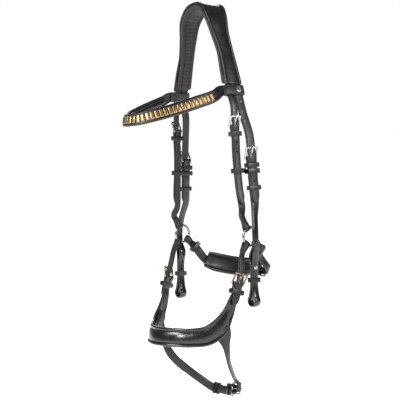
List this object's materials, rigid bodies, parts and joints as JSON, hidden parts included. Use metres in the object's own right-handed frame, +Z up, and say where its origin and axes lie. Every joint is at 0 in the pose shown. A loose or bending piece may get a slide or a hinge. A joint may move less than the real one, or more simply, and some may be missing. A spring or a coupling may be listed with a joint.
{
  "type": "snaffle bridle",
  "caption": "Leather snaffle bridle with a padded crown, clincher browband, drop-leg noseband, chin pad, cheek rings and buckled cheekpieces, shaped as worn.",
  "frame": {"origin": "middle of the crown padding's underside, where the bridle rests on the horse's poll", "axes": "+Z up, -Y to the front where the horse faces, +X to the horse's left"},
  "size_m": [0.191, 0.2405, 0.6049],
  "materials": {
    "black_leather": "smooth, waxed, satin",
    "lining_leather": "soft, matt",
    "clincher_brass": "polished",
    "plated_steel": "bright plated"
  },
  "bodies": {
    "headpiece_and_cheeks": {"crown_leather": "black_leather", "crown_padding": "lining_leather", "front_billet_left": "black_leather", "front_billet_right": "black_leather", "rear_billet_left": "black_leather", "rear_billet_right": "black_leather", "front_strap_left": "black_leather", "front_strap_right": "black_leather", "cheekpiece_left": "black_leather", "cheekpiece_right": "black_leather", "front_buckles": "plated_steel", "rear_buckle_left": "plated_steel", "rear_buckle_right": "plated_steel", "front_keepers": "black_leather", "strap_couplers": "black_leather", "rear_keeper_left": "black_leather", "rear_keeper_right": "black_leather", "hook_stud_left": "plated_steel", "hook_stud_right": "plated_steel"},
    "browband": {"browband_leather": "black_leather", "browband_padding": "lining_leather", "browband_clinchers": "clincher_brass", "browband_loops": "black_leather", "snap_sockets": "plated_steel"},
    "browband_tab_left": {"browband_tab_left": "black_leather", "browband_snap_left": "plated_steel"},
    "browband_tab_right": {"browband_tab_right": "black_leather", "browband_snap_right": "plated_steel"},
    "noseband": {"noseband_leather": "black_leather", "noseband_padding": "lining_leather", "noseband_billet_left": "black_leather", "noseband_billet_right": "black_leather", "noseband_buckles": "plated_steel", "noseband_keepers": "black_leather", "chin_groove_strap": "black_leather", "chin_groove_buckle": "plated_steel", "chin_groove_keepers": "black_leather"},
    "chin_strap": {"chin_pad": "lining_leather", "chin_strap_left": "black_leather", "chin_strap_right": "black_leather", "chin_pad_buckle": "plated_steel", "chin_keepers": "black_leather"},
    "cheek_ring_left": {"cheek_ring_left": "plated_steel"},
    "cheek_ring_right": {"cheek_ring_right": "plated_steel"},
    "front_tongue_left": {"front_tongue_left": "plated_steel"},
    "front_tongue_right": {"front_tongue_right": "plated_steel"},
    "rear_tongue_left": {"rear_tongue_left": "plated_steel"},
    "rear_tongue_right": {"rear_tongue_right": "plated_steel"},
    "noseband_tongue_left": {"noseband_tongue_left": "plated_steel"},
    "noseband_tongue_right": {"noseband_tongue_right": "plated_steel"},
    "chin_groove_tongue": {"chin_groove_tongue": "plated_steel"},
    "chin_pad_tongue": {"chin_pad_tongue": "plated_steel"},
    "rear_runner_left": {"rear_runner_left": "black_leather"},
    "bit_runner_left": {"bit_runner_left": "black_leather"},
    "rear_runner_right": {"rear_runner_right": "black_leather"},
    "bit_runner_right": {"bit_runner_right": "black_leather"}
  },
  "joints": [
    {"name": "browband_tilt", "type": "hinge", "parent": "headpiece_and_cheeks", "child": "browband", "pos_m": [0, 0.00297, -0.12717], "axis": [1, 0, 0], "range_deg": [-4, 4]},
    {"name": "snap_tab_left", "type": "hinge", "parent": "browband", "child": "browband_tab_left", "pos_m": [0.065, -0.01783, -0.12758], "axis": [0.2461, 0.0444, -0.9682], "range_deg": [0, 35]},
    {"name": "snap_tab_right", "type": "hinge", "parent": "browband", "child": "browband_tab_right", "pos_m": [-0.065, -0.01783, -0.12758], "axis": [0.2461, -0.0444, 0.9682], "range_deg": [0, 35]},
    {"name": "noseband_swing", "type": "hinge", "parent": "headpiece_and_cheeks", "child": "noseband", "pos_m": [0, 0.02, -0.344], "axis": [1, 0, 0], "range_deg": [-30, 4]},
    {"name": "chin_strap_swing", "type": "hinge", "parent": "headpiece_and_cheeks", "child": "chin_strap", "pos_m": [0, 0.02, -0.344], "axis": [1, 0, 0], "range_deg": [-12, 30]},
    {"name": "cheek_ring_left_turn", "type": "hinge", "parent": "headpiece_and_cheeks", "child": "cheek_ring_left", "pos_m": [0.08, 0.02, -0.344], "axis": [1, 0, 0], "continuous": true},
    {"name": "cheek_ring_right_turn", "type": "hinge", "parent": "headpiece_and_cheeks", "child": "cheek_ring_right", "pos_m": [-0.08, 0.02, -0.344], "axis": [1, 0, 0], "continuous": true},
    {"name": "front_tongue_left_lift", "type": "hinge", "parent": "headpiece_and_cheeks", "child": "front_tongue_left", "pos_m": [0.0665, 0, -0.181], "axis": [0.1769, 0.9828, 0.0531], "range_deg": [0, 12]},
    {"name": "front_tongue_right_lift", "type": "hinge", "parent": "headpiece_and_cheeks", "child": "front_tongue_right", "pos_m": [-0.0665, 0, -0.181], "axis": [0.1769, -0.9828, -0.0531], "range_deg": [0, 12]},
    {"name": "rear_tongue_left_lift", "type": "hinge", "parent": "headpiece_and_cheeks", "child": "rear_tongue_left", "pos_m": [0.0755, 0.0252, -0.227], "axis": [0.1768, 0.9822, 0.0641], "range_deg": [0, 12]},
    {"name": "rear_tongue_right_lift", "type": "hinge", "parent": "headpiece_and_cheeks", "child": "rear_tongue_right", "pos_m": [-0.0755, 0.0252, -0.227], "axis": [0.1768, -0.9822, -0.0641], "range_deg": [0, 12]},
    {"name": "noseband_tongue_left_lift", "type": "hinge", "parent": "noseband", "child": "noseband_tongue_left", "pos_m": [0.0813, -0.0062, -0.4135], "axis": [0.1882, 0.941, -0.2812], "range_deg": [0, 12]},
    {"name": "noseband_tongue_right_lift", "type": "hinge", "parent": "noseband", "child": "noseband_tongue_right", "pos_m": [-0.0813, -0.0062, -0.4135], "axis": [0.1882, -0.941, 0.2812], "range_deg": [0, 12]},
    {"name": "chin_groove_tongue_lift", "type": "hinge", "parent": "noseband", "child": "chin_groove_tongue", "pos_m": [0.032, 0.028, -0.5785], "axis": [-0.1892, 0.3202, 0.9283], "range_deg": [0, 12]},
    {"name": "chin_pad_tongue_lift", "type": "hinge", "parent": "chin_strap", "child": "chin_pad_tongue", "pos_m": [0.03704, 0.07797, -0.39748], "axis": [0.0731, 0.5087, 0.8578], "range_deg": [0, 12]},
    {"name": "rear_runner_left_slide", "type": "slide", "parent": "headpiece_and_cheeks", "child": "rear_runner_left", "axis": [-0.0846, -0.0498, 0.9952], "range_m": [-0.006, 0.006]},
    {"name": "bit_runner_left_slide", "type": "slide", "parent": "headpiece_and_cheeks", "child": "bit_runner_left", "axis": [0, 0, 1], "range_m": [-0.002, 0.008]},
    {"name": "rear_runner_right_slide", "type": "slide", "parent": "headpiece_and_cheeks", "child": "rear_runner_right", "axis": [0.0846, -0.0498, 0.9952], "range_m": [-0.006, 0.006]},
    {"name": "bit_runner_right_slide", "type": "slide", "parent": "headpiece_and_cheeks", "child": "bit_runner_right", "axis": [0, 0, 1], "range_m": [-0.002, 0.008]}
  ]
}
